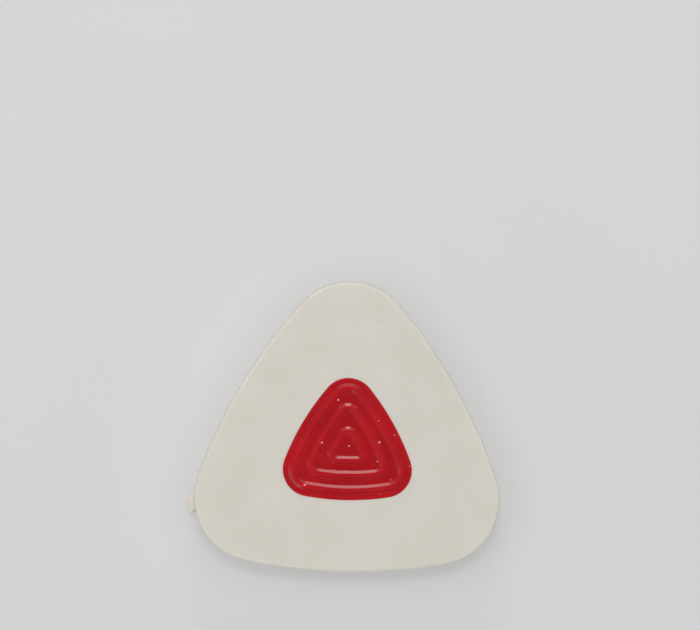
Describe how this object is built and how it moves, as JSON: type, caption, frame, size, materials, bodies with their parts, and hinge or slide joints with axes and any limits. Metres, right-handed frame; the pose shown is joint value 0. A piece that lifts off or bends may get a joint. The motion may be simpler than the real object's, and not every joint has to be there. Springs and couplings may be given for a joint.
{
  "type": "triangular eraser",
  "caption": "Rounded-triangle white vinyl pencil eraser with a ridged red plastic finger grip let into each face, the two grip halves pinned together through the block.",
  "frame": {"origin": "on the plane of the back face, under the middle of the rounded triangle's box; the small moulding nub on the left corner isn't counted, which leaves the whole box 0.4 mm off in X", "axes": "+Z out of the front face, through the thickness; +Y towards the apex; +X to the right as seen from the front"},
  "size_m": [0.0369, 0.0342, 0.0091],
  "materials": {
    "white_vinyl": "soft satin off-white vinyl, slightly translucent",
    "red_plastic": "glossy moulded red"
  },
  "bodies": {
    "root": {"eraser_block": "white_vinyl", "front_grip": "red_plastic", "back_grip": "red_plastic"}
  },
  "joints": []
}
